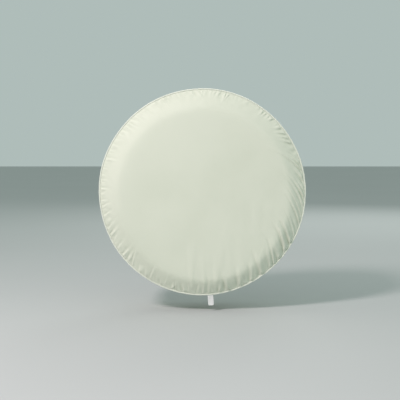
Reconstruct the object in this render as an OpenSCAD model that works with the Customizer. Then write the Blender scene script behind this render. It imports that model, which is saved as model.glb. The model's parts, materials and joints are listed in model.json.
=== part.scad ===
// Soft vinyl cover for a spare tyre carried upright.
// +Z is up, the cover's axis is Y, and the face looks toward -Y.
// The origin is on the axis, in the middle plane of the tyre that the cover goes over.

/* [Cover] */
// Diameter over the welt, for a 28 inch tyre
cover_d = 711; // [640:1:790]
// Width of the tyre that the cover goes over
tyre_w = 222; // [190:1:260]
// Thickness of the backed vinyl
vinyl_t = 1; // [0.7:0.1:1.2]
// Width of the sewing allowance inside each seam
allowance = 12; // [8:1:16]

/* [Face and shoulder] */
// Diameter of the flat face
face_d = 590; // [520:1:620]
// How far the shoulder falls back from the face to the welt
shoulder_drop = 24; // [14:1:36]

/* [Welt] */
// Diameter of the cord inside the welt
welt_cord_d = 4; // [3:0.5:5]
// Thickness of the thin vinyl wrapped round that cord
wrap_t = 0.6; // [0.4:0.1:0.8]

/* [Band] */
// Where the band ends at the back, measured from the tyre's middle plane
band_back = 85; // [70:1:95]
// Turn of the band's joins and the tab from straight down, toward +X
join_turn = 4.4; // [0:0.1:10]
// Distance of each row of stitches from the middle of a join
join_row = 5; // [3:0.5:6]

/* [Skirt and hem] */
// Radius of the hem, at the middle of its casing
hem_r = 262; // [240:1:290]
// How far the skirt curves back behind the band
skirt_back = 30; // [24:1:40]
// Width of the hem's casing across its channel
casing_w = 12; // [11:0.5:16]
// Depth of the hem's casing along the axis
casing_d = 6; // [5.5:0.5:8]
// Thickness of the casing's wall
casing_t = 0.8; // [0.5:0.1:0.9]
// Width of the flat elastic
elastic_w = 9; // [6:0.5:9]
// Thickness of the flat elastic
elastic_t = 1.5; // [1:0.1:1.6]
// Length over which the elastic's ends lap
elastic_lap = 28; // [20:1:40]

/* [Tab] */
// Width of the tab at the foot of the front seam
tab_w = 19; // [15:1:25]
// Length of the tab that hangs below the welt
tab_l = 35; // [25:1:45]
// Thickness of the doubled tape
tab_t = 1.4; // [1:0.1:1.8]

/* [Hidden] */

layer_gap = 0.2;                 // between layers that are sewn together
body_gap = 0.4;                  // between pieces that move apart
overlap = 1;                     // by which the shapes of one piece run into each other
thread_d = 0.6;
stitch_l = 3.4;
stitch_pitch = 4.6;
stitch_w = 0.7;
round_fn = 180;

cover_r = cover_d / 2;
face_r = face_d / 2;
welt_r = welt_cord_d / 2 + wrap_t;
welt_mid_r = cover_r - welt_r;
layer = vinyl_t + layer_gap;     // from the middle of one layer to the next
flange_t = 2 * wrap_t;           // the wrap's two edges, sewn flat together

band_mid_r = cover_r - 1.5 - vinyl_t / 2;
turned_mid_r = band_mid_r - layer;
flange_mid_r = turned_mid_r - vinyl_t / 2 - layer_gap - flange_t / 2;
panel_edge_r = flange_mid_r - flange_t / 2 - layer_gap - vinyl_t / 2;
skirt_edge_r = turned_mid_r - layer;

face_y = -tyre_w / 2 - vinyl_t / 2;      // the middle of the face's vinyl
shoulder_y = face_y + shoulder_drop;
seam_y = shoulder_y + 1;                 // the welt's middle
band_front = seam_y + welt_r + layer_gap + vinyl_t / 2;
skirt_y = band_back + layer;
hem_y = skirt_y + skirt_back + 1;
skirt_end_r = hem_r + casing_w / 2 + body_gap;
tab_pivot_r = cover_r + 0.5 + tab_t / 2;
tab_y = seam_y + 1;

band_colour = [0.86, 0.87, 0.80];
face_colour = [0.84, 0.86, 0.78];
welt_colour = [0.90, 0.91, 0.86];
thread_colour = [0.93, 0.93, 0.88];
elastic_colour = [0.95, 0.95, 0.93];
tab_colour = [0.98, 0.98, 0.97];

// ---- outlines ----

function unit(v) = v / norm(v);
function left_of(v) = [-v[1], v[0]];
function turn_at(path, i) =
    i == 0 ? left_of(unit(path[1] - path[0])) :
    i == len(path) - 1 ? left_of(unit(path[i] - path[i - 1])) :
    let (a = left_of(unit(path[i] - path[i - 1])), b = left_of(unit(path[i + 1] - path[i])))
    (a + b) / (1 + a * b);
function beside(path, d) = [for (i = [0 : len(path) - 1]) path[i] + d * turn_at(path, i)];
function reversed(list) = [for (i = [len(list) - 1 : -1 : 0]) list[i]];

// The outline of a sheet of thickness t that follows a path of [radius, y] points.
function sheet_outline(path, t) = concat(beside(path, t / 2), reversed(beside(path, -t / 2)));

// A quarter of an ellipse, from the band's edge round to the hem.
function skirt_arc(steps) = [
    for (i = [0 : steps])
        let (a = 90 * i / steps)
        [skirt_end_r + (band_mid_r - skirt_end_r) * cos(a), skirt_y + 1 + skirt_back * sin(a)]
];

// ---- helpers ----

// Turns an outline of [radius, y] points about the cover's axis.
// Angles run from +X round by the bottom.
module turned(from = 0, sweep = 360) {
    rotate([-90, 0, 0])
        rotate([0, 0, from])
            rotate_extrude(angle = sweep, $fn = round_fn)
                children();
}

// Places what is modelled at the bottom of the cover at a join instead.
module at_join(top = false) {
    rotate([0, (top ? 180 : 0) - join_turn, 0]) children();
}

module ring_of_thread(r, y) {
    turned() translate([r, y]) circle(d = thread_d, $fn = 16);
}

// A slot shape, w across the radius and d along the axis, with round ends.
module slot_outline(w, d) {
    square([w - d, d], center = true);
    for (s = [-1, 1]) translate([s * (w - d) / 2, 0]) circle(d = d, $fn = 32);
}

// A row of stitches along Y on the band's outer face, beside a join at the bottom.
module stitch_row(across) {
    count = floor((band_back - band_front - 4) / stitch_pitch);
    first = (band_front + band_back - (count - 1) * stitch_pitch) / 2;
    angle = atan(across / band_mid_r);
    rotate([0, angle, 0])
        for (i = [0 : count - 1])
            translate([0, first + i * stitch_pitch, -(band_mid_r + vinyl_t / 2 + 0.3)])
                cube([stitch_w, stitch_l, 0.5], center = true);
}

// ---- front ----

module front_panel() {
    path = [
        [0, face_y], [face_r, face_y],
        [panel_edge_r, shoulder_y], [panel_edge_r, seam_y + allowance]
    ];
    color(face_colour) turned() polygon(sheet_outline(path, vinyl_t));
}

module welt_cord() {
    color(thread_colour)
        turned() translate([welt_mid_r, seam_y]) circle(d = welt_cord_d, $fn = 32);
}

// The wrap goes round the cord, and its two edges run back inside the seam.
module welt_wrap() {
    color(welt_colour)
        turned()
            difference() {
                union() {
                    translate([welt_mid_r, seam_y]) circle(r = welt_r, $fn = 32);
                    translate([flange_mid_r - flange_t / 2, seam_y]) square([flange_t, allowance]);
                }
                translate([welt_mid_r, seam_y]) circle(d = welt_cord_d, $fn = 32);
            }
}

module front_seam_thread() {
    color(thread_colour)
        ring_of_thread(panel_edge_r - vinyl_t / 2 - thread_d / 2, seam_y + allowance / 2);
}

// ---- band ----

// Half of the band, whose long edges and ends are turned in by the allowance.
module band_half(from) {
    end_gap = 0.05;
    end_turn = allowance / band_mid_r * 180 / PI;
    path = [
        [turned_mid_r, seam_y + allowance], [turned_mid_r, band_front],
        [band_mid_r, band_front], [band_mid_r, band_back],
        [turned_mid_r, band_back], [turned_mid_r, band_back - allowance]
    ];
    turned(from + end_gap, 180 - 2 * end_gap) polygon(sheet_outline(path, vinyl_t));
    for (start = [2 * end_gap, 180 - 2 * end_gap - end_turn])
        turned(from + start, end_turn)
            translate([turned_mid_r - vinyl_t / 2, seam_y + allowance - overlap])
                square([layer + overlap / 2, band_back - seam_y - 2 * (allowance - overlap)]);
}

module band_left() {
    color(band_colour) band_half(90 - join_turn);
}

module band_right() {
    color(band_colour) band_half(270 - join_turn);
}

module join_stitches(top) {
    color(thread_colour)
        at_join(top)
            for (side = [-1, 1]) stitch_row(side * join_row);
}

module top_join_stitches() {
    join_stitches(true);
}

module bottom_join_stitches() {
    join_stitches(false);
}

// ---- skirt and hem ----

module rear_skirt() {
    path = concat(
        [[skirt_edge_r, band_back - allowance], [skirt_edge_r, skirt_y]],
        skirt_arc(20)
    );
    color(band_colour) turned() polygon(sheet_outline(path, vinyl_t));
}

module rear_seam_thread() {
    color(thread_colour)
        ring_of_thread(skirt_edge_r - vinyl_t / 2 - thread_d / 2, band_back - allowance / 2);
}

module hem_casing() {
    color(band_colour)
        turned()
            translate([hem_r, hem_y])
                difference() {
                    slot_outline(casing_w, casing_d);
                    slot_outline(casing_w - 2 * casing_t, casing_d - 2 * casing_t);
                }
}

// A ring of flat elastic, with its ends lapped at the bottom.
module hem_elastic() {
    lap = elastic_lap / hem_r * 180 / PI;
    color(elastic_colour) {
        turned() translate([hem_r, hem_y - elastic_t / 2]) square([elastic_w, elastic_t], center = true);
        turned(90 - lap / 2, lap)
            translate([hem_r, hem_y]) square([elastic_w - overlap / 5, 2 * elastic_t], center = true);
    }
}

module elastic_lap_stitches() {
    bars = 4;
    step = elastic_lap / (bars + 1);
    color(thread_colour)
        for (i = [1 : bars])
            translate([i * step - elastic_lap / 2, hem_y + elastic_t + 0.2, -hem_r])
                cube([stitch_w, 0.3, elastic_w - 3], center = true);
}

module hem_thread() {
    color(thread_colour)
        ring_of_thread(hem_r + 2, hem_y + casing_d / 2 + thread_d / 2);
}

// ---- tab ----

module tab_outline() {
    corner = 5;
    translate([-tab_w / 2, -tab_l + corner]) square([tab_w, tab_l - corner]);
    translate([-tab_w / 2 + corner, -tab_l]) square([tab_w - 2 * corner, 2 * corner]);
    for (s = [-1, 1])
        translate([s * (tab_w / 2 - corner), -tab_l + corner]) circle(r = corner, $fn = 48);
}

module seam_tab() {
    color(tab_colour)
        at_join()
            translate([0, tab_y, -tab_pivot_r]) {
                rotate([90, 0, 0]) linear_extrude(tab_t, center = true) tab_outline();
                rotate([0, 90, 0]) cylinder(d = tab_t, h = tab_w, center = true, $fn = 32);
            }
}

// Two rows across each face of the tab, where its two layers are sewn together.
module tab_stitches() {
    count = 4;
    pitch = (tab_w - 4) / count;
    color(thread_colour)
        at_join()
            for (face = [-1, 1], row = [5, 9], i = [0 : count - 1])
                translate([
                    (i - (count - 1) / 2) * pitch,
                    tab_y + face * (tab_t / 2 + 0.2),
                    -tab_pivot_r - row
                ])
                    cube([pitch - 1, 0.3, stitch_w], center = true);
}

front_panel();
welt_cord();
welt_wrap();
front_seam_thread();
band_left();
band_right();
top_join_stitches();
bottom_join_stitches();
rear_skirt();
rear_seam_thread();
hem_casing();
hem_elastic();
elastic_lap_stitches();
hem_thread();
seam_tab();
tab_stitches();
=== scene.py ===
import json
import math
import random
from collections import namedtuple

import bpy
import numpy as np
from mathutils import Matrix, Vector


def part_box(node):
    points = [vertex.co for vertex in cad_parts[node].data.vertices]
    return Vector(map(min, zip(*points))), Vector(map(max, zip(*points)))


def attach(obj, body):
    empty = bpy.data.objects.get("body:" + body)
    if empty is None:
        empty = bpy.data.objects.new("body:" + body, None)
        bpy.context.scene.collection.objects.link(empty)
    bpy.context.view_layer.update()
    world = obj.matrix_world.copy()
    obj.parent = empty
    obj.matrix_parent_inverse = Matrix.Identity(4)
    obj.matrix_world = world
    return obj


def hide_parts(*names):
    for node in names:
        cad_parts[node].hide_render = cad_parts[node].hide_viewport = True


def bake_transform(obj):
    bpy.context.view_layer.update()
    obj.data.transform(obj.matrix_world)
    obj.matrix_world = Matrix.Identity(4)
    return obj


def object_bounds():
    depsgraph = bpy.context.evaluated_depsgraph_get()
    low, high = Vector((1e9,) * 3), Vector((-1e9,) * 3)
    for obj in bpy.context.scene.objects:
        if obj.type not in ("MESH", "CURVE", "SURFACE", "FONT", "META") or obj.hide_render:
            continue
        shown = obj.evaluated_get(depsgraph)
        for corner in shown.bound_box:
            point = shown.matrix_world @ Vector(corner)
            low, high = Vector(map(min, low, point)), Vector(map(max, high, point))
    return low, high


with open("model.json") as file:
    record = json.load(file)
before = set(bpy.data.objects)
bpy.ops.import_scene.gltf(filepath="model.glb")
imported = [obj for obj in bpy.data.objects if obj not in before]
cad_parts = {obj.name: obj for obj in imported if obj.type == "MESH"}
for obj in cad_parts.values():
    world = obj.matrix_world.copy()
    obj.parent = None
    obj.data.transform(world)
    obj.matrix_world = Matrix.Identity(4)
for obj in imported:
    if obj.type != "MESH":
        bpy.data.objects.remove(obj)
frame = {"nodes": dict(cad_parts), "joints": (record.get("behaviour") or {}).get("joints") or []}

cad_box = [list(corner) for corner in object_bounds()]

# ---- sizes, in metres, from the frame and the cut of the cover ----

VINYL = 0.001                      # thickness of the backed vinyl
LAYER_GAP = 0.0002                 # between layers that are sewn together
ALLOWANCE = 0.012                  # turned in at every seam
JOIN_TURN = math.radians(4.4)      # of the joins and the tab, from straight down toward +X
JOIN_ROW = 0.005                   # from a join to each row of its stitches

welt_low, welt_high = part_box("welt_wrap")
cord_low, cord_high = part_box("welt_cord")
band_low, band_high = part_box("band_left")
panel_low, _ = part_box("front_panel")
casing_low, casing_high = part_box("hem_casing")

RIM_R = welt_high[0]               # out to the welt's outer side
CORD_R = (cord_high[1] - cord_low[1]) / 2
SEAM_Y = (cord_high[1] + cord_low[1]) / 2
WELT_R = SEAM_Y - welt_low[1]
WELT_MID_R = RIM_R - WELT_R
FLANGE_T = 2 * (WELT_R - CORD_R)   # the welt's two edges, flat together in the seam

BAND_R = band_high[2]
BAND_FRONT = band_low[1]
BAND_BACK = band_high[1]
TURNED_R = BAND_R - 2 * VINYL - LAYER_GAP  # the band's edges, turned in
FLANGE_R = TURNED_R - LAYER_GAP
PANEL_R = FLANGE_R - FLANGE_T - LAYER_GAP  # the face's edge, turned in
SKIRT_EDGE_R = BAND_R - 2 * (VINYL + LAYER_GAP) - 0.0001  # the skirt's edge, sewn under the band's

FACE_Y = panel_low[1]
SHOULDER_Y = SEAM_Y - 0.0017       # where the shoulder runs into the welt
FACE_R = 0.295                     # of the flat part of the face
FACE_SHIFT = (0.006, -0.008)       # the cover's weight draws the flat part right and down

CASING_W = 0.012
CASING_T = 0.0008                  # thickness of the casing's thinner vinyl
CASING_D = casing_high[1] - casing_low[1]
CASING_ROLL = 0.005                # radius of the roll that the casing is first bent to
HEM_R = casing_high[0] - CASING_W / 2
HEM_Y = (casing_low[1] + casing_high[1]) / 2
SKIRT_END_R = HEM_R + CASING_W / 2 - 0.001
SKIRT_Y = BAND_BACK + 0.0005       # where the skirt comes out from under the band

AROUND = 800                       # points round the cover
FOOT = math.pi / 2 - JOIN_TURN     # angle of the bottom join, from +X round by the bottom
HEAD = FOOT + math.pi              # angle of the top join
SMOOTH_UNDER = math.radians(60)    # flatter edges than this are shaded smooth

cuts = random.Random(11)


# ---- smooth numbers over the cover ----

def wrapped(angle):
    """The angle brought between -pi and pi."""
    return (angle + math.pi) % (2 * math.pi) - math.pi


def bump(angle, middle, half_width):
    """1 at middle, falling smoothly to 0 at half_width on either side."""
    away = np.clip(np.abs(wrapped(angle - middle)) / half_width, 0, 1)
    return (1 - away * away) ** 2


def smooth(x):
    """Eases from 0 at 0 to 1 at 1."""
    x = np.clip(x, 0, 1)
    return x * x * (3 - 2 * x)


def waves(angle, along, seed, turns, length, count=14):
    """Gentle unevenness with a spread of about 1.

    turns is the least and most waves round the cover, length the shortest wave along.
    """
    draw = random.Random(seed)
    total = 0
    for _ in range(count):
        k = draw.randint(*turns)
        slope = draw.uniform(-1, 1) * 2 * math.pi / length
        total = total + np.cos(k * angle + slope * along + draw.uniform(0, 2 * math.pi))
    return total * math.sqrt(2 / count)


def slack(angle):
    """How slack the vinyl is: most at the right and the lower right."""
    return bump(angle, math.radians(25), math.radians(88))


def lower_left(angle):
    """How near the lower left is, where the puckers are longer again."""
    return bump(angle, math.radians(128), math.radians(52))


# at is the angle at the seam, reach how far it runs in, lean how far it slants aside as it does
Pucker = namedtuple("Pucker", "at height width reach lean")
STEEPEST = 1.2                     # a pucker's height over its width, measured square across it
MOST_SLANT = 1.15                  # of a pucker from straight inward, before its random part

# the deep folds at the lower right, at degrees round from +X by the bottom
BIG_FOLDS = (
    Pucker(at=34, height=0.0040, width=0.0080, reach=0.052, lean=0.90),
    Pucker(at=41, height=0.0046, width=0.0095, reach=0.060, lean=0.72),
    Pucker(at=48, height=0.0034, width=0.0075, reach=0.048, lean=0.80),
    Pucker(at=54, height=0.0048, width=0.0100, reach=0.060, lean=0.52),
    Pucker(at=61, height=0.0036, width=0.0080, reach=0.050, lean=0.60),
    Pucker(at=68, height=0.0042, width=0.0095, reach=0.056, lean=0.34),
    Pucker(at=76, height=0.0026, width=0.0080, reach=0.046, lean=0.28),
)
# the ridge over the thick spot where the tab is sewn in
TAB_FOLD = Pucker(at=FOOT + 0.006, height=0.0021, width=0.0055, reach=0.050, lean=0.12)


def make_puckers():
    """Walks round the seam and eases in one pucker after another."""
    found, angle = [], math.radians(3)
    while angle < 2 * math.pi:
        loose, left = float(slack(angle)), float(lower_left(angle))
        tight = float(bump(angle, math.radians(-42), math.radians(48)))  # the upper right
        spacing = math.radians(2.8 + 2.9 * loose + 1.1 * left) * cuts.uniform(0.6, 1.4)
        height = (0.0025 + 0.0051 * loose + 0.0004 * left) * (1 - 0.10 * tight)
        height *= cuts.uniform(0.25, 1.45)
        width = RIM_R * spacing * cuts.uniform(0.15, 0.24)
        reach = (0.020 + 0.034 * loose + 0.012 * left) * (1 - 0.35 * tight)
        reach *= cuts.uniform(0.55, 1.35)
        share = 0.12 + 0.70 * loose + 0.36 * left
        toward_foot = np.clip(share * wrapped(math.pi / 2 - angle), -MOST_SLANT, MOST_SLANT)
        lean = math.tan(toward_foot) + cuts.uniform(-0.3, 0.3)
        among_big = float(bump(angle, math.radians(56), math.radians(26)))
        height *= 1 - 0.75 * among_big
        slant = math.hypot(1, lean)  # a slanting pucker is this much narrower square across
        width *= slant ** 0.4
        height = min(height, STEEPEST * width / slant)
        found.append(Pucker(angle, height, width, reach, lean))
        angle += spacing
    found += [fold._replace(at=math.radians(fold.at)) for fold in BIG_FOLDS]
    found.append(TAB_FOLD)
    return found


puckers = make_puckers()


def pucker_height(angle, inward, dips=0.85):
    """How high the puckers stand, inward from the seam. dips is how deep the dip beside each is."""
    total = np.zeros_like(angle)
    for at, height, width, reach, lean in puckers:
        along = np.clip(inward, 0, None)
        across = RIM_R * wrapped(angle - at) + lean * along
        wide = width * (0.75 + 0.55 * along / reach)
        fade = np.exp(-1.4 * (along / reach) ** 2)
        crest = np.exp(-np.abs(across / wide) ** 1.7)
        dip = dips * np.exp(-((across - 1.45 * wide) / (0.7 * wide)) ** 2)
        total += height * fade * (crest - dip)
    return total


def rim_pull(angle):
    """How far the puckers pull the rim in, in metres."""
    total = np.zeros_like(angle)
    for at, height, width, reach, lean in puckers:
        total -= 0.18 * height * np.exp(-(RIM_R * wrapped(angle - at) / (1.1 * width)) ** 2)
    return total + 0.0004 * waves(angle, 0 * angle, seed=5, turns=(3, 9), length=1)


def rim_shift(angle):
    """How far the rim wanders along the axis, in metres."""
    wander = 0.0006 * waves(angle, 0 * angle, seed=6, turns=(4, 22), length=1)
    return wander - 0.10 * pucker_height(angle, 0 * angle)


# ---- modelling ----

def clear_selection():
    """Leaves edit mode and selects nothing."""
    if bpy.context.object and bpy.context.object.mode != "OBJECT":
        bpy.ops.object.mode_set(mode="OBJECT")
    bpy.ops.object.select_all(action="DESELECT")


def name_it(name):
    """Names the object that an operator just made, and its mesh."""
    piece = bpy.context.object
    piece.name = piece.data.name = name
    return piece


def ring(name, stations, pole=False):
    """A circle, extruded from one (radius, y) station to the next. pole closes its middle."""
    clear_selection()
    r, y = stations[0]
    bpy.ops.mesh.primitive_circle_add(
        vertices=AROUND, radius=r, location=(0, y, 0), rotation=(math.pi / 2, 0, 0)
    )
    piece = name_it(name)
    bpy.ops.object.transform_apply(location=True, rotation=True, scale=True)
    bpy.ops.object.mode_set(mode="EDIT")
    bpy.ops.mesh.select_mode(type="EDGE")
    bpy.ops.mesh.select_all(action="SELECT")
    for next_r, next_y in stations[1:]:
        bpy.ops.mesh.extrude_edges_indiv()
        bpy.ops.transform.resize(value=(next_r / r, 1, next_r / r), center_override=(0, y, 0))
        bpy.ops.transform.translate(value=(0, next_y - y, 0))
        r, y = next_r, next_y
    if pole:
        bpy.ops.mesh.extrude_edges_indiv()
        bpy.ops.mesh.merge(type="CENTER")
    bpy.ops.object.mode_set(mode="OBJECT")
    return piece


def polar(piece):
    """Each point's angle from +X round by the bottom, its radius, y and station number."""
    co = coordinates(piece)
    angle, r = np.arctan2(-co[:, 2], co[:, 0]), np.hypot(co[:, 0], co[:, 2])
    return angle, r, co[:, 1], np.arange(len(co)) // AROUND


def coordinates(piece):
    flat = np.empty(3 * len(piece.data.vertices))
    piece.data.vertices.foreach_get("co", flat)
    return flat.reshape(-1, 3)


def set_coordinates(piece, co):
    piece.data.vertices.foreach_set("co", np.asarray(co, float).ravel())
    piece.data.update()


def on_ring(angle, r, y):
    """The point at an angle round from +X by the bottom."""
    return Vector((r * math.cos(angle), y, -r * math.sin(angle)))


def tangent(angle):
    """The way round the cover, with the angle growing."""
    return Vector((-math.sin(angle), 0, -math.cos(angle)))


def outward(angle):
    """The way out from the axis."""
    return Vector((math.cos(angle), 0, -math.sin(angle)))


def round_axis(angle, r, y):
    """on_ring for whole arrays."""
    return np.stack([r * np.cos(angle), y, -r * np.sin(angle)], axis=1)


def set_attribute(piece, name, values):
    layer = piece.data.attributes.new(name, "FLOAT", "POINT")
    layer.data.foreach_set("value", np.asarray(values, np.float32))


def set_cloth_uv(piece, flat, turn=None):
    """The cloth's own coordinates in metres, as its UV map.

    turn is the length round a closed ring, so that its last faces don't run back to its start.
    """
    mesh = piece.data
    layer = mesh.uv_layers.get("cloth") or mesh.uv_layers.new(name="cloth")
    corner = np.empty(len(mesh.loops), int)
    mesh.loops.foreach_get("vertex_index", corner)
    uv = flat[corner].astype(float)
    if turn:
        start = np.empty(len(mesh.polygons), int)
        size = np.empty(len(mesh.polygons), int)
        mesh.polygons.foreach_get("loop_start", start)
        mesh.polygons.foreach_get("loop_total", size)
        owner = np.repeat(np.arange(len(start)), size)
        most = np.full(len(start), -np.inf)
        np.maximum.at(most, owner, uv[:, 0])
        uv[:, 0] += np.where(most[owner] - uv[:, 0] > turn / 2, turn, 0)
    layer.data.foreach_set("uv", uv.ravel())


def face_outward(piece, outside):
    """Turns the sheet's faces so that they look to its outer side.

    outside is a point and the direction out of the cover there.
    """
    mesh = piece.data
    point, out = Vector(outside[0]), Vector(outside[1])
    near = min(mesh.polygons, key=lambda p: (p.center - point).length_squared)
    if near.normal.dot(out) < 0:
        mesh.flip_normals()


def select_only(piece):
    clear_selection()
    bpy.context.view_layer.objects.active = piece
    piece.select_set(True)


def finish_sheet(piece, thickness, materials):
    """Gives a sheet its wall, inward from the outer side, with the backing on the inner side."""
    select_only(piece)
    for material in materials:
        piece.data.materials.append(material)
    wall = piece.modifiers.new("wall", "SOLIDIFY")
    wall.thickness = thickness
    wall.offset = -1
    wall.material_offset = len(materials) - 1
    wall.material_offset_rim = len(materials) - 1
    bpy.ops.object.modifier_apply(modifier=wall.name)
    bpy.ops.object.shade_smooth_by_angle(angle=SMOOTH_UNDER)


def close_seams(piece):
    """Merges the points where a ring meets its own start, and turns its faces outward."""
    select_only(piece)
    bpy.ops.object.mode_set(mode="EDIT")
    bpy.ops.mesh.select_all(action="SELECT")
    bpy.ops.mesh.remove_doubles(threshold=0.00001)
    bpy.ops.mesh.normals_make_consistent(inside=False)
    bpy.ops.object.mode_set(mode="OBJECT")
    bpy.ops.object.shade_smooth_by_angle(angle=SMOOTH_UNDER)


def arc(middle, radius, start, end, steps):
    """Points of an arc from start to end degrees in the (radius, y) plane."""
    turns = [math.radians(a) for a in np.linspace(start, end, steps + 1)]
    return [(middle[0] + radius * math.cos(a), middle[1] + radius * math.sin(a)) for a in turns]


def run_along(points):
    """The length along a path of points, at each of them."""
    steps = np.hypot(*np.diff(np.array(points), axis=0).T)
    return np.concatenate([[0], np.cumsum(steps)])


# ---- materials ----

class Link:
    """A socket that can be used in sums."""

    def __init__(self, tree, socket):
        self.tree = tree
        self.socket = socket

    def math(self, operation, *others):
        sockets = dict(enumerate([self, *others]))
        return self.tree.add("ShaderNodeMath", sockets, operation=operation)

    def __add__(self, other):
        return self.math("ADD", other)

    def __sub__(self, other):
        return self.math("SUBTRACT", other)

    def __mul__(self, other):
        return self.math("MULTIPLY", other)

    def __rsub__(self, other):
        return self.tree.add("ShaderNodeMath", {0: other, 1: self}, operation="SUBTRACT")

    __radd__ = __add__
    __rmul__ = __mul__


class Finish:
    """One material: a Principled shader and the nodes before it."""

    def __init__(self, name, fixed):
        self.material = bpy.data.materials.new(name)
        self.material.use_nodes = True
        self.nodes = self.material.node_tree.nodes
        self.links = self.material.node_tree.links
        self.shader = next(n for n in self.nodes if n.type == "BSDF_PRINCIPLED")
        for socket, value in fixed.items():
            self.shader.inputs[socket].default_value = value

    def add(self, kind, sockets=None, output=0, **settings):
        """Any node: its settings first, then the values or links of its sockets."""
        node = self.nodes.new(kind)
        for key, value in settings.items():
            setattr(node, key, value)
        for key, value in (sockets or {}).items():
            if isinstance(value, Link):
                self.links.new(value.socket, node.inputs[key])
            else:
                node.inputs[key].default_value = value
        return Link(self, node.outputs[output])

    def place(self):
        return self.add("ShaderNodeTexCoord", output="Object")

    def cloth(self):
        return self.add("ShaderNodeUVMap", uv_map="cloth")

    def scaled(self, vector, scale):
        return self.add("ShaderNodeMapping", {"Vector": vector, "Scale": scale})

    def noise(self, vector, scale, detail=2.0, rough=0.5):
        sockets = {"Vector": vector, "Scale": scale, "Detail": detail, "Roughness": rough}
        return self.add("ShaderNodeTexNoise", sockets)

    def cells(self, vector, scale, feature="SMOOTH_F1"):
        sockets = {"Vector": vector, "Scale": scale}
        return self.add("ShaderNodeTexVoronoi", sockets, "Distance", feature=feature)

    def attribute(self, name):
        return self.add("ShaderNodeAttribute", output="Fac", attribute_name=name)

    def ramp(self, value, low, high):
        """0 below low, 1 above high."""
        sockets = {"Value": value, "From Min": low, "From Max": high}
        return self.add("ShaderNodeMapRange", sockets, interpolation_type="SMOOTHSTEP")

    def mix(self, share, first, second):
        sockets = {"Factor": share, 6: first, 7: second}
        return self.add("ShaderNodeMix", sockets, 2, data_type="RGBA")

    def set(self, socket, link):
        self.links.new(link.socket, self.shader.inputs[socket])

    def relief(self, height, distance, below=None):
        sockets = {"Height": height, "Distance": distance}
        if below:
            sockets["Normal"] = below
        return self.add("ShaderNodeBump", sockets)


def vinyl_finish(name, light, shade, shine, grain_depth):
    """Grained vinyl: pebbled relief, faint mottling, and painted shade that darkens the valleys of
    the folds.
    """
    f = Finish(name, {"Specular IOR Level": 0.30, "Sheen Weight": 0.05, "Sheen Roughness": 0.5})
    at = f.place()
    pebble = f.cells(at, 620.0)
    crease = f.noise(at, 1500.0, 3.0, 0.6)
    cloud = f.noise(at, 5.5, 4.0, 0.55)
    speckle = f.noise(at, 260.0, 2.0)
    fold = f.attribute("fold")
    # painted shade: the vinyl is darker where the fold attribute dips (valleys of puckers, gathers,
    # pleats, join grooves) and lighter on the crests
    valley_shade = 1 - f.ramp(fold, -0.0009, 0.0004)
    # the mix share is partly random mottling and specks of the vinyl's own tone, partly the painted
    # valley shade
    mottling_and_valley_shade = valley_shade * 0.34 + f.ramp(cloud, 0.42, 0.72) * 0.22 + f.ramp(speckle, 0.62, 0.8) * 0.1
    f.set("Base Color", f.mix(mottling_and_valley_shade, (*light, 1), (*shade, 1)))
    f.set("Roughness", f.ramp(cloud, 0.3, 0.7) * 0.1 + (pebble * 0.12 + (shine - 0.08)))
    fine = f.relief(crease, 0.00006)
    f.set("Normal", f.relief(pebble, grain_depth, fine))
    return f.material


def backing_finish():
    """The knitted backing on the inner side: rows of small loops, matt and slightly fuzzy."""
    fixed = {"Specular IOR Level": 0.2, "Sheen Weight": 0.3, "Sheen Roughness": 0.6}
    f = Finish("knit_backing", fixed)
    at = f.cloth()
    wave = {"Vector": at, "Scale": 260.0, "Distortion": 1.2, "Detail": 1.0, "Detail Scale": 2.0}
    rows = f.add("ShaderNodeTexWave", wave, "Fac", bands_direction="X")
    loops = f.add("ShaderNodeTexWave", {**wave, "Scale": 170.0}, "Fac", bands_direction="Y")
    knit = rows * loops
    fuzz = f.noise(at, 900.0, 3.0, 0.7)
    cloud = f.noise(f.place(), 7.0, 3.0)
    tone = f.ramp(knit, 0.05, 0.8) * 0.6 + f.ramp(cloud, 0.3, 0.7) * 0.4
    f.set("Base Color", f.mix(tone, (0.50, 0.49, 0.44, 1), (0.70, 0.69, 0.64, 1)))
    f.set("Roughness", fuzz * 0.15 + 0.82)
    f.set("Normal", f.relief(knit + fuzz * 0.4, 0.00025))
    return f.material


def thread_finish():
    """Twisted sewing thread."""
    f = Finish("sewing_thread", {"Specular IOR Level": 0.35, "Sheen Weight": 0.2})
    at = f.place()
    twist = f.noise(at, 2600.0, 2.0)
    tone = f.ramp(twist, 0.35, 0.65)
    f.set("Base Color", f.mix(tone, (0.62, 0.62, 0.55, 1), (0.80, 0.80, 0.73, 1)))
    f.set("Roughness", twist * 0.2 + 0.5)
    f.set("Normal", f.relief(twist, 0.00008))
    return f.material


def braid_finish(name, dark, light, rate):
    """Braided yarn, for the elastic and the welt's cord."""
    f = Finish(name, {"Specular IOR Level": 0.25, "Sheen Weight": 0.25})
    at = f.place()
    cells = f.cells(f.scaled(at, (1.0, 2.2, 1.0)), rate, "F1")
    fuzz = f.noise(at, 1800.0, 3.0)
    f.set("Base Color", f.mix(f.ramp(cells, 0.1, 0.55), (*light, 1), (*dark, 1)))
    f.set("Roughness", fuzz * 0.2 + 0.72)
    f.set("Normal", f.relief(cells + fuzz * 0.3, 0.0003))
    return f.material


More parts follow.
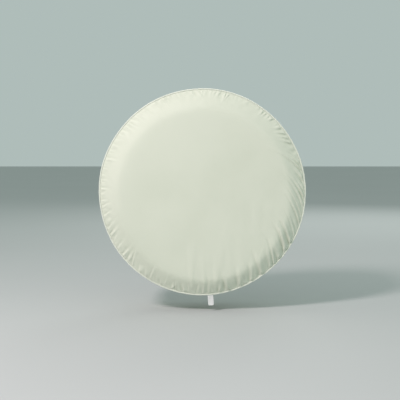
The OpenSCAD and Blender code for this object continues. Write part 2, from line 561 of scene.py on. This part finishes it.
def tape_finish():
    """White twill tape: slanting ribs over finer yarns, slightly soiled."""
    fixed = {"Specular IOR Level": 0.25, "Sheen Weight": 0.3, "Sheen Roughness": 0.4}
    f = Finish("twill_tape", fixed)
    at = f.cloth()
    slanted = f.add("ShaderNodeMapping", {"Vector": at, "Rotation": (0, 0, math.radians(38))})
    ribs = {"Vector": slanted, "Scale": 330.0, "Distortion": 0.6}
    twill = f.add("ShaderNodeTexWave", ribs, "Fac")
    yarns = {"Vector": at, "Scale": 560.0}
    yarn = f.add("ShaderNodeTexWave", yarns, "Fac", bands_direction="Y")
    fuzz = f.noise(at, 1500.0, 3.0, 0.6)
    weave = twill * 0.7 + yarn * 0.3
    soil = f.ramp(f.noise(at, 60.0, 3.0), 0.5, 0.75) * 0.35
    tone = f.mix(f.ramp(weave, 0.1, 0.7), (0.80, 0.80, 0.79, 1), (0.93, 0.93, 0.92, 1))
    f.set("Base Color", f.mix(soil, tone, (0.80, 0.79, 0.74, 1)))
    f.set("Roughness", fuzz * 0.15 + 0.72)
    f.set("Normal", f.relief(weave + fuzz * 0.2, 0.0003))
    return f.material


vinyl = vinyl_finish("grained_vinyl", (0.70, 0.735, 0.615), (0.60, 0.645, 0.52), 0.57, 0.00016)
# painted highlight: the welt is the same vinyl as the cover, given a lighter colour so it shows as
# a bright line of light along the rim
welt_vinyl = vinyl_finish("welt_vinyl", (0.76, 0.79, 0.69), (0.66, 0.70, 0.59), 0.42, 0.00008)
backing = backing_finish()
thread = thread_finish()
cotton = braid_finish("cotton_cord", (0.50, 0.48, 0.42), (0.72, 0.70, 0.63), 700.0)
elastic = braid_finish("braided_elastic", (0.60, 0.60, 0.58), (0.84, 0.84, 0.82), 900.0)
tape = tape_finish()


# ---- the face and its shoulder ----

EDGE_R = PANEL_R + 0.0010          # where the face's edge turns in
SHOULDER_REACH = 0.070             # the part in from the edge that is modelled finely
EASE = 0.11                        # how gradually the flat part turns into the shoulder


def drag_lines(x, z, from_edge):
    """The faint lines that hang down the face from the cover's own weight."""
    lines = random.Random(8)
    total = np.zeros_like(x)
    for i in range(15):
        middle = -0.045 + 0.022 * i + lines.uniform(-0.008, 0.008)
        top = -0.20 + 0.95 * max(middle, 0) + lines.uniform(-0.05, 0.07)
        wide, height = lines.uniform(0.006, 0.012), lines.uniform(0.0004, 0.0011)
        line = middle + lines.uniform(-0.10, 0.22) * (z - top)
        ends = smooth((top - z) / 0.11) * (z < 0.12) * smooth(from_edge / 0.03)
        total += height * np.exp(-((x - line) / wide) ** 2) * ends
    return total


def make_face():
    """The round front sheet: flat, then a shoulder eased into the seam, and the edge turned in."""
    turned = [(PANEL_R, SEAM_Y + ALLOWANCE), (PANEL_R, SEAM_Y + 0.006), (PANEL_R, SEAM_Y + 0.001)]
    corner = [(PANEL_R + 0.0002, SEAM_Y - 0.0007), (PANEL_R + 0.0012, SHOULDER_Y + 0.0004)]
    shoulder = list(np.linspace(EDGE_R, EDGE_R - SHOULDER_REACH, 31))
    face = list(np.linspace(EDGE_R - SHOULDER_REACH - 0.008, 0.012, 20))
    stations = turned + corner + [(r, SHOULDER_Y) for r in shoulder + face]
    piece = ring("face_sheet", stations, pole=True)
    angle, r, y, station = polar(piece)
    flat = np.stack([r * np.cos(angle), r * np.sin(angle)], axis=1)
    front = station >= len(turned) + len(corner)
    side_x, side_z = FACE_SHIFT
    face_r = FACE_R + side_x * np.cos(angle) - side_z * np.sin(angle)
    t = (r - face_r) / (EDGE_R - face_r)
    fall = EASE * np.log1p(np.exp(np.clip(t / EASE, -40, 40)))
    fall_at_edge = EASE * math.log1p(math.exp(1 / EASE))
    depth = (SHOULDER_Y - FACE_Y) * fall / fall_at_edge
    inward = np.clip(EDGE_R - r, 0, None)
    x, z = r * np.cos(angle), -r * np.sin(angle)
    lift = pucker_height(angle, inward) * smooth((inward + 0.0005) / 0.008)
    crumple = 0.00022 * waves(angle, inward, seed=21, turns=(30, 90), length=0.03)
    lift += crumple * smooth(1 - inward / SHOULDER_REACH)
    calm = smooth(inward / 0.05)
    swell = 0.0005 * waves(angle, r, seed=22, turns=(2, 5), length=0.5, count=10)
    lift += swell * calm * smooth(r / 0.25)
    lift += drag_lines(x, z, inward)
    share = smooth(1 - inward / 0.03)
    new_y = np.where(front, FACE_Y + depth - lift, y) + rim_shift(angle) * share
    co = round_axis(angle, r + rim_pull(angle) * share, new_y)
    co[-1] = (0, FACE_Y + 0.00005, 0)  # the pole
    set_coordinates(piece, co)
    # the fold height, whose dips the vinyl finish darkens as painted shade and whose crests it
    # lightens
    set_attribute(piece, "fold", np.where(front, lift, 0))
    flat[-1] = (0, 0)
    set_cloth_uv(piece, flat)
    face_outward(piece, ((0, FACE_Y, 0.1), (0, -1, 0)))
    finish_sheet(piece, VINYL, (vinyl, backing))
    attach(piece, "cover")
    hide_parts("front_panel")


make_face()


# ---- the welt ----

def make_welt():
    """The piping: thin vinyl round a cord, its two edges running back into the seam."""
    middle = (WELT_MID_R, SEAM_Y)
    start = [(FLANGE_R, SEAM_Y + ALLOWANCE), (FLANGE_R, SEAM_Y + 0.0055)]
    circle = arc(middle, WELT_R, 128, 128 - 290, 22)
    back = [(FLANGE_R - FLANGE_T, SEAM_Y + 0.0045), (FLANGE_R - FLANGE_T, SEAM_Y + ALLOWANCE)]
    stations = start + circle + back
    piece = ring("welt_piping", stations)
    angle, r, y, station = polar(piece)
    on_cord = (station >= len(start)) & (station < len(start) + len(circle))
    turn = np.arctan2(y - SEAM_Y, r - WELT_MID_R)
    ripple = 0.00010 * waves(angle, turn, seed=31, turns=(180, 330), length=4.0, count=16)
    ripple += 0.00007 * waves(angle, turn, seed=32, turns=(60, 120), length=3.0, count=10)
    grow = 1 + np.where(on_cord, ripple / WELT_R, 0)
    new_r = WELT_MID_R + (r - WELT_MID_R) * grow + rim_pull(angle)
    new_y = SEAM_Y + (y - SEAM_Y) * grow + rim_shift(angle)
    set_coordinates(piece, round_axis(angle, new_r, new_y))
    # painted highlight and shade: the fold value on the cord is raised by 0.0002 so the vinyl
    # finish paints it lighter, and its ripples add painted shade in their dips
    set_attribute(piece, "fold", np.where(on_cord, 2.5 * ripple + 0.0002, 0))
    length, width = 2 * math.pi * RIM_R, float(run_along(stations)[-1])
    set_cloth_uv(piece, np.stack([(angle + math.pi) * RIM_R, turn * WELT_R], axis=1), length)
    face_outward(piece, ((RIM_R, SEAM_Y, 0), (1, 0, 0)))
    finish_sheet(piece, 0.92 * FLANGE_T / 2, (welt_vinyl, backing))
    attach(piece, "cover")
    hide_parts("welt_wrap")


def make_cord():
    """The three-strand cord inside the welt."""
    room = 0.93                    # leaves room for the strands to stand out
    circle = arc((WELT_MID_R, SEAM_Y), CORD_R * room, 0, -360, 12)
    piece = ring("welt_cord_strands", circle)
    angle, r, y, _ = polar(piece)
    turn = np.arctan2(y - SEAM_Y, r - WELT_MID_R)
    lay = 1 + 0.05 * np.cos(3 * turn + 150 * angle)
    new_r = WELT_MID_R + (r - WELT_MID_R) * lay + rim_pull(angle)
    new_y = SEAM_Y + (y - SEAM_Y) * lay + rim_shift(angle)
    set_coordinates(piece, round_axis(angle, new_r, new_y))
    close_seams(piece)
    piece.data.materials.append(cotton)
    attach(piece, "cover")
    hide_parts("welt_cord")


make_welt()
make_cord()


# ---- the band ----

TAB_ROOM = 0.0016                  # the band gives way by this much where the tab comes out
TAB_ROOM_W = 0.013                 # and this far to either side
END_GAP = 0.00003                  # from a join to each band's fold
JOIN_LIFT = 0.0007                 # the turned-in ends raise the band over them by this
JOIN_GROOVE = 0.0013               # how deep the vinyl rolls into a join
ROW_DENT = 0.00028                 # how deep a row of stitches pulls it in


def band_surface(angle, y):
    """The radius of the band's outer side, and how far folds lift it."""
    from_front = y - BAND_FRONT
    from_back = BAND_BACK - y
    wide = BAND_BACK - BAND_FRONT
    lift = 0.30 * pucker_height(angle, 1.3 * np.clip(from_front, 0, None), 0)
    lift += seam_ripple(angle, np.clip(from_back, 0, None))
    calm = smooth(from_front / 0.03) * smooth(from_back / 0.03)
    lift += 0.00055 * waves(angle, y, seed=41, turns=(2, 9), length=0.30, count=16) * calm
    lift += 0.00025 * waves(angle, y, seed=42, turns=(14, 40), length=0.08, count=16) * calm
    arch = np.sin(math.pi * np.clip(from_front / wide, 0, 1))
    crown = 0.0010 * arch
    sag = 0.0016 * bump(angle, math.pi / 2, math.radians(60)) * arch
    edge = rim_pull(angle) * smooth(1 - from_front / 0.03)
    for join in (FOOT, HEAD):
        across = BAND_R * wrapped(angle - join)
        lift += JOIN_LIFT * np.exp(-(np.abs(across) / 0.011) ** 4)
        lift -= JOIN_GROOVE * np.exp(-(across / 0.0011) ** 2)
        for side in (-1, 1):
            lift -= ROW_DENT * np.exp(-((across - side * JOIN_ROW) / 0.0012) ** 2)
    return BAND_R - 0.0004 + lift + crown + sag + edge, lift


def seam_ripple(angle, inward):
    """Small ripples that run from the rear seam."""
    short = waves(angle, 0 * angle, seed=43, turns=(60, 120), length=1)
    short *= np.exp(-((inward / 0.012) ** 2))
    long = waves(angle, 0 * angle, seed=44, turns=(25, 60), length=1, count=10)
    long *= np.exp(-((inward / 0.028) ** 2))
    return 0.00022 * short + 0.00035 * long


def tab_room(angle):
    """How far the band's front edge gives way to the tab."""
    return TAB_ROOM * np.exp(-(BAND_R * wrapped(angle - FOOT) / TAB_ROOM_W) ** 4)


def make_band(name, node, start):
    """Half of the band: a straight strip with both long edges turned in, bent round the tread."""
    fold_r = (BAND_R - TURNED_R) / 2
    mid_r = BAND_R - fold_r
    front_mid, back_mid = BAND_FRONT + fold_r, BAND_BACK - fold_r
    section = [(TURNED_R, SEAM_Y + ALLOWANCE), (TURNED_R, SEAM_Y + 0.007)]
    section += arc((mid_r, front_mid), fold_r, 180, 360, 6)
    section += [(BAND_R, y) for y in np.linspace(front_mid, back_mid, 62)[1:-1]]
    section += arc((mid_r, back_mid), fold_r, 0, 180, 6)
    section += [(TURNED_R, BAND_BACK - 0.007), (TURNED_R, BAND_BACK - ALLOWANCE)]
    section = np.array(section)
    clear_selection()
    rows = len(section) - 1
    bpy.ops.mesh.primitive_grid_add(x_subdivisions=430, y_subdivisions=rows, size=1)
    piece = name_it(name)
    co = coordinates(piece)
    end_gap = END_GAP / BAND_R
    angle = start + end_gap + (co[:, 0] + 0.5) * (math.pi - 2 * end_gap)
    row = np.clip(np.round((co[:, 1] + 0.5) * rows).astype(int), 0, rows)
    r, y = section[row, 0], section[row, 1]
    outer, lift = band_surface(angle, y)
    front_share = smooth(1 - (y - BAND_FRONT) / 0.04)
    giving = np.where(y < BAND_FRONT + 0.0022, 1, front_share * 0.5)
    new_y = y + (rim_shift(angle) - 0.0005) * front_share + tab_room(angle) * giving
    turned = r < BAND_R - 1e-6
    set_coordinates(piece, round_axis(angle, r + outer - BAND_R, new_y))
    across = run_along(section)
    set_cloth_uv(piece, np.stack([(angle - start) * BAND_R, across[row]], axis=1))
    # the fold height, which the vinyl finish turns into painted shade in the join grooves and
    # stitch-row dents, and into lighter vinyl over the raised joins
    set_attribute(piece, "fold", np.where(turned, 0, lift))
    middle = start + math.pi / 2
    face_outward(piece, (on_ring(middle, BAND_R, 0), outward(middle)))
    finish_sheet(piece, VINYL, (vinyl, backing))
    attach(piece, "cover")
    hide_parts(node)


def make_join_end(name, join, side):
    """One end of a band, turned in under a join and lying against the band's inner side."""
    clear_selection()
    bpy.ops.mesh.primitive_grid_add(x_subdivisions=10, y_subdivisions=60, size=1)
    piece = name_it(name)
    co = coordinates(piece)
    across = side * (0.00004 + (co[:, 0] + 0.5) * ALLOWANCE)
    low, high = SEAM_Y + ALLOWANCE + 0.001, BAND_BACK - ALLOWANCE - 0.001
    y = low + (co[:, 1] + 0.5) * (high - low)
    angle = join + across / BAND_R
    outer, _ = band_surface(angle, y)
    lying = outer - VINYL - LAYER_GAP - 0.0004 * smooth((np.abs(across) - 0.007) / 0.006)
    set_coordinates(piece, round_axis(angle, lying, y))
    set_cloth_uv(piece, np.stack([across, y], axis=1))
    set_attribute(piece, "fold", 0 * y)
    face_outward(piece, (on_ring(join, BAND_R, 0), outward(join)))
    finish_sheet(piece, VINYL * 0.95, (backing, vinyl))
    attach(piece, "cover")
    return piece


left_ends = [
    make_join_end("bottom_join_end_left", FOOT, 1),
    make_join_end("top_join_end_left", HEAD, -1),
]
right_ends = [
    make_join_end("bottom_join_end_right", FOOT, -1),
    make_join_end("top_join_end_right", HEAD, 1),
]
make_band("band_left_sheet", "band_left", FOOT)
make_band("band_right_sheet", "band_right", HEAD)


# ---- the skirt and its hem ----

GATHERS = (64, 103, 171)           # round the mouth: the main ones, and the finer ones between
GATHER_HEIGHT = 0.0046             # where they are deepest
PRESSED = 0.74                     # the share of it that the hem presses flat


def gathers(angle, inner):
    """The gathers at the hem, with a spread of about 1. inner is 0 at the band and 1 at the hem."""
    wander = 0.42 * waves(angle, 0 * angle, seed=51, turns=(2, 7), length=1, count=8)
    main = np.cos(GATHERS[0] * angle + 2.0 * wander)
    second = np.cos(GATHERS[1] * angle + 2.6 * wander + 1.0)
    third = np.cos(GATHERS[2] * angle - 2.0 * wander)
    strength = 1 + 0.25 * waves(angle, 0 * angle, seed=52, turns=(5, 17), length=1, count=8)
    return strength * (main + 0.65 * second * inner + 0.45 * third * inner ** 3)


def make_skirt():
    """The vinyl that curves round the tyre's back and is gathered into the hem."""
    turned = [(SKIRT_EDGE_R, BAND_BACK - below) for below in (ALLOWANCE, 0.005, 0.0002)]
    lip = [(SKIRT_EDGE_R + 0.0012, BAND_BACK + 0.0004)]
    depth = HEM_Y - SKIRT_Y
    curve = [
        (SKIRT_END_R + (BAND_R - SKIRT_END_R) * math.cos(a), SKIRT_Y + depth * math.sin(a))
        for a in np.linspace(0.02, math.pi / 2, 44)
    ]
    stations = turned + lip + curve
    piece = ring("skirt_sheet", stations)
    angle, r, y, station = polar(piece)
    first = len(turned) + len(lip)
    share = np.clip((station - first) / (len(curve) - 1), 0, 1)
    out_r = np.cos(share * math.pi / 2)
    out_y = np.sin(share * math.pi / 2)
    inner = smooth((share - 0.05) / 0.9)
    height = GATHER_HEIGHT * smooth(share / 0.75) * (1 - PRESSED * smooth((share - 0.80) / 0.20))
    lift = height * gathers(angle, inner)
    lift += seam_ripple(angle, 1.6 * share * (BAND_R - SKIRT_END_R))
    crumple = 0.0004 * waves(angle, share, seed=53, turns=(20, 60), length=0.4)
    lift += crumple * smooth(share / 0.2)
    at_band, _ = band_surface(angle, np.minimum(y, BAND_BACK))
    in_sight = station >= first
    lift = np.where(in_sight, lift, at_band + 0.0004 - BAND_R)
    sway = waves(angle, 0 * angle, seed=54, turns=(6, 26), length=1, count=12)
    lean = 0.0030 * smooth(share) * sway / r
    new_r = r + lift * np.where(in_sight, out_r, 1)
    set_coordinates(piece, round_axis(angle + lean, new_r, y + lift * out_y))
    across = run_along(stations)
    length, width = 2 * math.pi * BAND_R, float(across[-1])
    set_cloth_uv(piece, np.stack([(angle + math.pi) * BAND_R, across[station]], axis=1), length)
    # the gathers' height, scaled down, which the vinyl finish turns into painted shade in their
    # valleys
    set_attribute(piece, "fold", 0.35 * lift)
    face_outward(piece, ((0, HEM_Y, -(HEM_R + 0.03)), (0, 1, 0)))
    finish_sheet(piece, VINYL, (vinyl, backing))
    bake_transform(piece)
    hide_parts("rear_skirt")


def casing_middle(angle):
    """How far the casing's middle wanders from its circle, in radius and in y."""
    in_r = 0.0007 * waves(angle, 0 * angle, seed=61, turns=(8, 40), length=1, count=12)
    return in_r, 0.0007 * gathers(angle, 1.0)


def casing_pleats(angle, turn):
    """The small pleats of the casing, as a share of its thickness."""
    return 0.13 * waves(angle, turn, seed=62, turns=(70, 128), length=5.0, count=18)


def casing_point(angle, turn):
    """The casing's outer side, scrunched by its elastic. turn goes round its section."""
    flat, deep = CASING_W / 2, CASING_D / 2
    squared = 0.72                 # 1 would be an oval, and 0 a box
    across = flat * np.sign(np.cos(turn)) * np.abs(np.cos(turn)) ** squared
    thick = deep * np.sign(np.sin(turn)) * np.abs(np.sin(turn)) ** squared
    scrunch = 1.1 + casing_pleats(angle, turn) + 0.10 * gathers(angle, 1.0) * np.sin(turn)
    shift_r, shift_y = casing_middle(angle)
    return HEM_R + across * (1 + 0.25 * (scrunch - 1)) + shift_r, HEM_Y + thick * scrunch + shift_y


def make_casing():
    """The strip folded over the elastic, its raw edge tucked under its first edge."""
    turns = np.linspace(math.radians(-20), math.radians(372), 30)
    circle = [(HEM_R + CASING_ROLL * math.cos(a), HEM_Y + CASING_ROLL * math.sin(a)) for a in turns]
    piece = ring("hem_casing_cloth", circle)
    angle, _, _, station = polar(piece)
    turn = turns[station]
    new_r, new_y = casing_point(angle, turn)
    tuck = 1 - 0.24 * smooth((turn - math.radians(325)) / math.radians(20))
    shift_r, shift_y = casing_middle(angle)
    new_r = HEM_R + shift_r + (new_r - HEM_R - shift_r) * tuck
    new_y = HEM_Y + shift_y + (new_y - HEM_Y - shift_y) * tuck
    set_coordinates(piece, round_axis(angle, new_r, new_y))
    # the pleats' height, which the vinyl finish turns into painted shade in their dips
    set_attribute(piece, "fold", 0.004 * casing_pleats(angle, turn))
    flat = np.stack([(angle + math.pi) * HEM_R, turn * CASING_ROLL], axis=1)
    set_cloth_uv(piece, flat, 2 * math.pi * HEM_R)
    face_outward(piece, ((HEM_R, HEM_Y + CASING_D / 2, 0), (0, 1, 0)))
    finish_sheet(piece, CASING_T, (vinyl, backing))
    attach(piece, "hem")
    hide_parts("hem_casing")


make_skirt()
make_casing()


# ---- stitches ----

SEAM_STITCH = (0.0042, 0.0007)     # length and thickness
JOIN_STITCH = (0.0041, 0.0008)
TAB_STITCH = (0.0036, 0.0007)
SEAM_COUNT = 440
HEM_COUNT = 330
JOIN_COUNT = 33                    # in each row beside a join


def make_stitch(length, thick):
    """One stitch, along X, arched up in Z, with its ends going down into the cloth."""
    clear_selection()
    bpy.ops.mesh.primitive_uv_sphere_add(
        segments=6, ring_count=6, radius=1, rotation=(0, math.pi / 2, 0)
    )
    piece = name_it("stitch")
    bpy.ops.object.transform_apply(rotation=True)
    co = coordinates(piece)
    co *= (length / 2, thick / 2, thick / 2)
    co[:, 2] += thick * (0.25 - 0.7 * (co[:, 0] / (length / 2)) ** 2)
    set_coordinates(piece, co)
    bpy.ops.object.shade_smooth()
    return piece


def stitch_run(name, places, size, body, node):
    """Copies of one stitch. A place is a point, the way it runs and the way out of the cloth."""
    model = make_stitch(*size)
    copies = []
    for point, run, out in places:
        copy = model.copy()
        copy.data = model.data.copy()
        bpy.context.collection.objects.link(copy)
        run, out = Vector(run).normalized(), Vector(out).normalized()
        side = out.cross(run).normalized()
        turn = Matrix((run, side, run.cross(side))).transposed().to_4x4()
        copy.data.transform(Matrix.Translation(point) @ turn)
        copies.append(copy)
    bpy.data.objects.remove(model)
    clear_selection()
    for copy in copies:
        copy.select_set(True)
    bpy.context.view_layer.objects.active = copies[0]
    bpy.ops.object.join()
    piece = name_it(name)
    piece.data.materials.clear()
    piece.data.materials.append(thread)
    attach(piece, body)
    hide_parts(node)


def ring_places(count, point, out):
    """Even places round the cover."""
    for i in range(count):
        angle = 2 * math.pi * i / count
        yield point(angle), tangent(angle), out(angle)


def make_front_seam():
    def point(angle):
        a = np.array([angle])
        r = PANEL_R - VINYL + float(rim_pull(a)[0])
        return on_ring(angle, r, SEAM_Y + ALLOWANCE / 2 + float(rim_shift(a)[0]))

    places = ring_places(SEAM_COUNT, point, lambda a: -outward(a))
    stitch_run("front_seam_stitches", places, SEAM_STITCH, "cover", "front_seam_thread")


def make_rear_seam():
    def point(angle):
        return on_ring(angle, SKIRT_EDGE_R - VINYL, BAND_BACK - ALLOWANCE / 2)

    places = ring_places(SEAM_COUNT, point, lambda a: -outward(a))
    stitch_run("rear_seam_stitches", places, SEAM_STITCH, "cover", "rear_seam_thread")


def make_hem_stitches():
    lift = math.radians(52)

    def point(angle):
        r, y = casing_point(np.array([angle]), np.array([lift]))
        return on_ring(angle, float(r[0]), float(y[0]))

    places = ring_places(HEM_COUNT, point, lambda a: Vector((0, 1, 0)) + 0.4 * outward(a))
    stitch_run("hem_stitches", places, SEAM_STITCH, "hem", "hem_thread")


def make_join_stitches(name, join, node):
    end_room = 0.006
    run = BAND_BACK - BAND_FRONT - 2 * end_room
    places = []
    for side in (-1, 1):
        angle = join + side * JOIN_ROW / BAND_R
        for i in range(JOIN_COUNT):
            y = BAND_FRONT + end_room + (i + 0.5) * run / JOIN_COUNT
            r, _ = band_surface(np.array([angle]), np.array([y]))
            places.append((on_ring(angle, float(r[0]), y), (0, 1, 0), outward(angle)))
    stitch_run(name, places, JOIN_STITCH, "cover", node)


make_front_seam()
make_rear_seam()
make_hem_stitches()
make_join_stitches("bottom_join_rows", FOOT, "bottom_join_stitches")
make_join_stitches("top_join_rows", HEAD, "top_join_stitches")


# ---- the tab ----

tab_joint = next(j for j in frame["joints"] if j["name"] == "tab_swing")
pivot = Vector(tab_joint["pos_m"])
down = outward(FOOT)
side_way = tangent(FOOT) * -1
TAB_W = 0.019
TAB_L = 0.035
TAB_ROOT = 0.007                   # how far the tape goes up into the seam
TAB_CORNER = 0.0052
TAB_SIDE = 0.00066                 # from the tab's middle to either side
TAB_PLY = 0.0006                   # thickness of the tape
TAB_ROWS = (0.005, 0.009)          # its rows of stitches, below the pivot
TAB_COUNT = 4                      # stitches in a row


def tab_point(across, along, off):
    """A point of the tab: across its width, along it below the pivot, off its middle toward +Y."""
    below = max(along, 0) / TAB_L
    curl = 0.0016 * math.sin(2.4 * below) - 0.0006 * (2 * across / TAB_W) ** 2 * below
    return pivot + side_way * across + down * along + Vector((0, 1, 0)) * (off + curl)


def make_tab():
    """A white tape doubled on itself: down one side, round its foot and up the other."""
    turn_r, high = TAB_SIDE, TAB_L - TAB_SIDE
    path = [(along, turn_r) for along in np.linspace(-TAB_ROOT, high, 46)]
    path += [(high + y, x) for x, y in arc((0, 0), turn_r, 0, 180, 8)[1:-1]]
    path += [(along, -turn_r) for along in np.linspace(high, -TAB_ROOT, 46)]
    length = run_along(path)
    clear_selection()
    bpy.ops.mesh.primitive_grid_add(x_subdivisions=24, y_subdivisions=len(path) - 1, size=1)
    piece = name_it("seam_tab_tape")
    points, flat = [], []
    for u, v, _ in coordinates(piece):
        row = round((v + 0.5) * (len(path) - 1))
        along, off = path[row]
        into = min(max(0.0, along - (TAB_L - TAB_CORNER)), TAB_CORNER)
        half = TAB_W / 2 - TAB_CORNER + math.sqrt(TAB_CORNER**2 - into**2)
        half += 0.00012 * math.sin(900 * along)  # the woven edge's small bumps
        points.append(tab_point(2 * u * half, along, off))
        flat.append((2 * u * half, length[row]))
    set_coordinates(piece, points)
    set_cloth_uv(piece, np.array(flat))
    face_outward(piece, (tab_point(0, TAB_L / 2, TAB_SIDE), (0, 1, 0)))
    finish_sheet(piece, TAB_PLY, (tape,))
    above, below = tuple(pivot - down * 0.001), tuple(pivot + down * 0.003)
    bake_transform(piece)
    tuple(above)
    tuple(below)
    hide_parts("seam_tab")


def make_tab_stitches():
    pitch = (TAB_W - 0.004) / TAB_COUNT
    places = []
    for face in (-1, 1):
        for row in TAB_ROWS:
            for i in range(TAB_COUNT):
                across = (i - (TAB_COUNT - 1) / 2) * pitch
                point = tab_point(across, row, face * TAB_SIDE)
                places.append((point, side_way, (0, face, 0)))
    stitch_run("tab_rows", places, TAB_STITCH, "tab", "tab_stitches")


make_tab()
make_tab_stitches()

# the elastic and its lap keep the frame's own shape
for node_name, finish in (("hem_elastic", elastic), ("elastic_lap_stitches", thread)):
    mesh = frame["nodes"][node_name].data
    mesh.materials.clear()
    mesh.materials.append(finish)


# ---- stage, light and camera ----

COVER_SHARE = 0.5185               # of the view's width that the cover takes
VIEW_SHIFT = (-0.006, -0.019)      # of the view's width, for a cover that sits off its middle
VIEW_LIFT = math.radians(3)        # the camera looks down by this much


def make_stage():
    clear_selection()
    floor_z = cad_box[0][2] - 0.02  # just clear of the tab
    bpy.ops.mesh.primitive_plane_add(size=40, location=(0, 0, floor_z))
    floor = name_it("floor")
    ground = Finish("pale_floor", {"Roughness": 0.9, "Specular IOR Level": 0.1})
    tone = ground.noise(ground.place(), 0.8, 2.0)
    ground.set("Base Color", ground.mix(tone, (0.51, 0.53, 0.52, 1), (0.54, 0.56, 0.55, 1)))
    floor.data.materials.append(ground.material)
    world = bpy.data.worlds.new("studio")
    bpy.context.scene.world = world
    world.use_nodes = True
    sky = world.node_tree.nodes["Background"]
    sky.inputs["Color"].default_value = (0.845, 1.0, 0.96, 1)
    sky.inputs["Strength"].default_value = 0.508


def add_light(name, direction, distance, size, power, colour):
    """A round lamp in a direction from the origin, facing it."""
    data = bpy.data.lights.new(name, "AREA")
    data.shape = "DISK"
    data.size = size
    data.energy = power
    data.color = colour
    lamp = bpy.data.objects.new(name, data)
    bpy.context.scene.collection.objects.link(lamp)
    way = Vector(direction).normalized()
    lamp.location = way * distance
    lamp.rotation_mode = "QUATERNION"
    lamp.rotation_quaternion = way.to_track_quat("Z", "Y")


def make_camera():
    """Looks square at the face from a little above."""
    data = bpy.data.cameras.new("camera")
    data.lens = 85
    data.sensor_width = 36
    camera = bpy.data.objects.new("camera", data)
    bpy.context.scene.collection.objects.link(camera)
    view_w = 2 * RIM_R / COVER_SHARE
    distance = view_w * data.lens / data.sensor_width
    back = Vector((0, -math.cos(VIEW_LIFT), math.sin(VIEW_LIFT)))
    camera.location = Vector((0, SEAM_Y, 0)) + back * distance
    camera.rotation_mode = "QUATERNION"
    camera.rotation_quaternion = (-back).to_track_quat("-Z", "Y")
    data.shift_x, data.shift_y = VIEW_SHIFT
    data.clip_start, data.clip_end = 0.05, 100
    bpy.context.scene.camera = camera


make_stage()
add_light(
    "key", direction=(-0.480, -0.630, 0.611), distance=4.0,
    size=0.8, power=114, colour=(1.0, 0.87, 0.91),
)
add_light(
    "fill", direction=(0.80, -0.50, 0.10), distance=5.0,
    size=3.0, power=20, colour=(0.80, 1.0, 0.95),
)
add_light(
    "rear", direction=(0.3, 0.9, 0.5), distance=5.0,
    size=2.5, power=45, colour=(1.0, 1.0, 1.0),
)
make_camera()
bpy.context.scene.view_settings.view_transform = "Standard"
